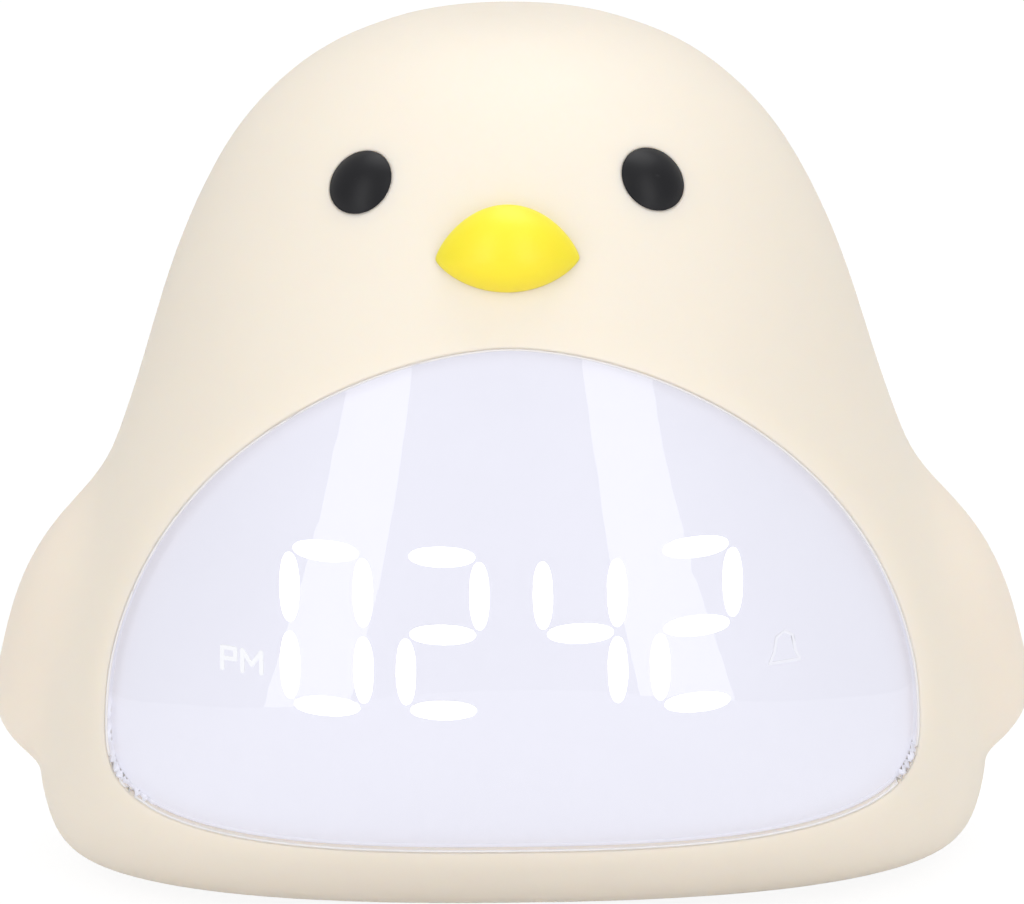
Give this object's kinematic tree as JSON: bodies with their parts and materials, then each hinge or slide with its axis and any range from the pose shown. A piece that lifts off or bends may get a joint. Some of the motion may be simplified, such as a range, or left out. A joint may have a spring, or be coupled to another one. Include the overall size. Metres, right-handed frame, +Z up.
{
  "type": "kids alarm clock with night light",
  "caption": "Free-standing bird-shaped silicone night light with a lit digital clock behind a clear belly lens and push keys at the back.",
  "frame": {"origin": "centre of the footprint's bounding box, on the surface that the feet rest on", "axes": "+X across the body to the viewer's right, +Y to the back, +Z up; the face looks along -Y"},
  "size_m": [0.121, 0.0911, 0.099],
  "materials": {
    "cream_silicone": "soft matte silicone",
    "diffuser_plastic": "milky translucent polypropylene",
    "clear_lens": "clear polished acrylic",
    "lavender_film": "pale lavender printed film",
    "lit_guide": "white light guide, lit",
    "dark_guide": "light guide, unlit",
    "white_plastic": "fine texture",
    "circuit_board": "solder mask",
    "led_chip": "encapsulated",
    "black_plastic": "moulded",
    "cream_plastic": "fine texture",
    "grey_rubber": "matte",
    "steel": "plain",
    "battery_wrap": "shrink wrap",
    "paper_cone": "pressed paper",
    "eye_black": "satin",
    "beak_yellow": "soft matte silicone"
  },
  "bodies": {
    "housing": {"silicone_cover": "cream_silicone", "front_shell": "diffuser_plastic", "rear_shell": "diffuser_plastic", "display_lens": "clear_lens", "display_film": "lavender_film", "hour_tens_digit": "lit_guide", "hour_ones_digit": "lit_guide", "minute_tens_digit": "lit_guide", "minute_ones_digit": "lit_guide", "half_day_letters": "lit_guide", "dark_segments": "dark_guide", "colon_dots": "dark_guide", "bell_sign": "dark_guide", "segment_reflector": "white_plastic", "display_board": "circuit_board", "display_leds": "led_chip", "rear_panel": "cream_plastic", "main_board": "circuit_board", "tact_switches": "black_plastic", "board_chips": "black_plastic", "charging_port": "steel", "port_tongue": "black_plastic", "switch_case": "steel", "base_plate": "cream_plastic", "rubber_feet": "grey_rubber", "base_screws": "steel", "shell_screws": "steel", "battery_cell": "battery_wrap", "battery_cradle": "white_plastic", "speaker_frame": "steel", "speaker_cone": "paper_cone", "speaker_magnet": "steel", "light_board": "circuit_board", "light_leds": "led_chip", "light_reflector": "white_plastic", "inner_frame": "white_plastic", "left_eye": "eye_black", "right_eye": "eye_black", "beak": "beak_yellow"},
    "up_key": {"up_key": "cream_plastic"},
    "set_key": {"set_key": "cream_plastic"},
    "down_key": {"down_key": "cream_plastic"},
    "alarm_key": {"alarm_key": "cream_plastic"},
    "light_key": {"light_key": "cream_plastic"},
    "switch_knob": {"switch_knob": "black_plastic"}
  },
  "joints": [
    {"name": "up_key_press", "type": "slide", "parent": "housing", "child": "up_key", "axis": [0, -1, 0], "range_m": [0, 0.0006], "stiffness_N_per_m": 1500},
    {"name": "set_key_press", "type": "slide", "parent": "housing", "child": "set_key", "axis": [0, -1, 0], "range_m": [0, 0.0006], "stiffness_N_per_m": 1500},
    {"name": "down_key_press", "type": "slide", "parent": "housing", "child": "down_key", "axis": [0, -1, 0], "range_m": [0, 0.0006], "stiffness_N_per_m": 1500},
    {"name": "alarm_key_press", "type": "slide", "parent": "housing", "child": "alarm_key", "axis": [0, -1, 0], "range_m": [0, 0.0006], "stiffness_N_per_m": 1500},
    {"name": "light_key_press", "type": "slide", "parent": "housing", "child": "light_key", "axis": [0, -1, 0], "range_m": [0, 0.0006], "stiffness_N_per_m": 1500},
    {"name": "power_switch_slide", "type": "slide", "parent": "housing", "child": "switch_knob", "axis": [1, 0, 0], "range_m": [0, 0.0025]}
  ]
}
